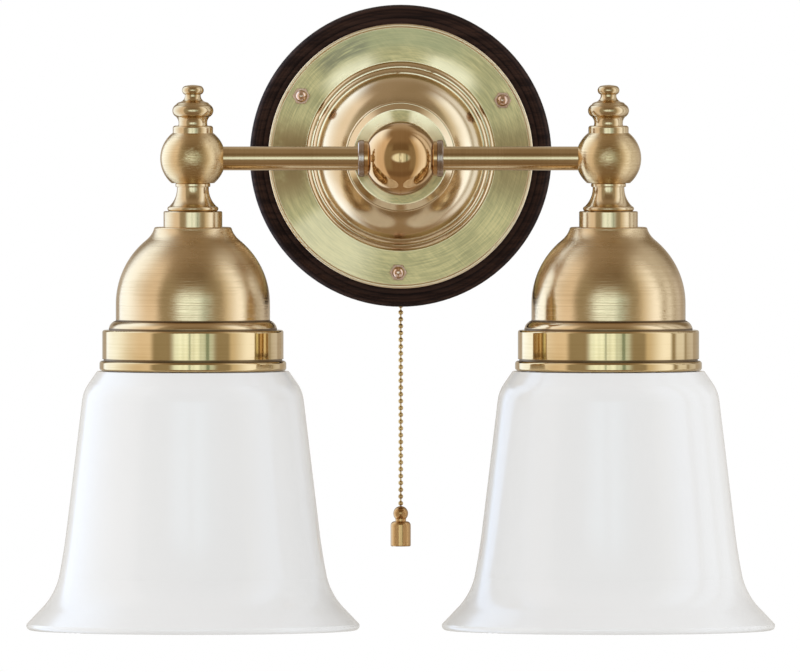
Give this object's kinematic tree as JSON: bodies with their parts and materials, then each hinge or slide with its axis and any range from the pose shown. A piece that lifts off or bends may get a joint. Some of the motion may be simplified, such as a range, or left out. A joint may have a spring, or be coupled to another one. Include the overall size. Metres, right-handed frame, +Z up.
{
  "type": "wall sconce",
  "caption": "Double arm wall light: a round wood and brass plate, a ball hub with two straight arms, downward opal glass bells and a ball chain switch.",
  "frame": {"origin": "centre of the wood plate's back, on the wall", "axes": "+X along the arms, to the right from the front; +Y into the wall; +Z up"},
  "size_m": [0.3604, 0.1752, 0.3],
  "materials": {
    "brass": "polished",
    "nut_brass": "satin",
    "chain_brass": "satin",
    "fitting_brass": "satin",
    "dark_wood": "satin",
    "opal_glass": "glossy",
    "rubber": "matte",
    "porcelain": "glossy",
    "holder_plastic": "glossy",
    "block_plastic": "matte",
    "wire_sleeve": "matte",
    "steel": "satin"
  },
  "bodies": {
    "fitting": {"wood_backplate": "dark_wood", "brass_backplate": "brass", "mounting_studs": "steel", "cap_nuts": "nut_brass", "stem_tube": "brass", "stem_lock_nut": "steel", "stem_collar": "brass", "hub_ball": "brass", "terminal_block": "block_plastic", "terminal_screws": "steel", "switch_wire": "wire_sleeve", "switch_housing": "holder_plastic", "switch_cover": "block_plastic", "switch_pins": "steel", "switch_contacts": "fitting_brass", "return_spring": "steel", "chain_bush": "fitting_brass", "left_arm_tube": "brass", "left_end_ball": "brass", "left_finial": "brass", "left_nipple": "fitting_brass", "left_neck": "brass", "left_collar": "brass", "left_dome": "brass", "left_shade_ring": "brass", "left_shade_gasket": "rubber", "left_glass_shade": "opal_glass", "left_lampholder_cap": "holder_plastic", "left_lampholder_skirt": "holder_plastic", "left_lampholder_insert": "porcelain", "left_screw_shell": "fitting_brass", "left_centre_contact": "fitting_brass", "left_lamp_wire": "wire_sleeve", "left_hub_collar": "brass", "right_arm_tube": "brass", "right_end_ball": "brass", "right_finial": "brass", "right_nipple": "fitting_brass", "right_neck": "brass", "right_collar": "brass", "right_dome": "brass", "right_shade_ring": "brass", "right_shade_gasket": "rubber", "right_glass_shade": "opal_glass", "right_lampholder_cap": "holder_plastic", "right_lampholder_skirt": "holder_plastic", "right_lampholder_insert": "porcelain", "right_screw_shell": "fitting_brass", "right_centre_contact": "fitting_brass", "right_lamp_wire": "wire_sleeve", "right_hub_collar": "brass"},
    "chain": {"chain_coupling": "fitting_brass", "chain_inner": "chain_brass"},
    "chain_joint": {"chain_link": "chain_brass"},
    "hanging_chain": {"ball_chain": "chain_brass", "pull_knob": "brass"},
    "lever": {"switch_lever": "steel"},
    "rotor": {"switch_rotor": "block_plastic"}
  },
  "joints": [
    {"name": "chain_pull", "type": "slide", "parent": "fitting", "child": "chain", "axis": [0, 0, -1], "range_m": [0, 0.008], "stiffness_N_per_m": 400, "springref_m": -0.01},
    {"name": "chain_swing_side", "type": "hinge", "parent": "chain", "child": "chain_joint", "pos_m": [0, -0.008, -0.0759], "axis": [0, 1, 0], "range_deg": [-22, 22]},
    {"name": "chain_swing_out", "type": "hinge", "parent": "chain_joint", "child": "hanging_chain", "pos_m": [0, -0.008, -0.0792], "axis": [-1, 0, 0], "range_deg": [-1.5, 30]},
    {"name": "lever_turn", "type": "hinge", "parent": "fitting", "child": "lever", "pos_m": [-0.009, -0.0126, -0.03385], "axis": [0, 1, 0], "range_deg": [0, 47.93]},
    {"name": "rotor_turn", "type": "hinge", "parent": "fitting", "child": "rotor", "pos_m": [0.0074, -0.009, -0.03385], "axis": [0, 1, 0], "continuous": true}
  ],
  "couplings": [
    {"joint": "lever_turn", "follows": "chain_pull", "rad_per_m": 104.55}
  ]
}
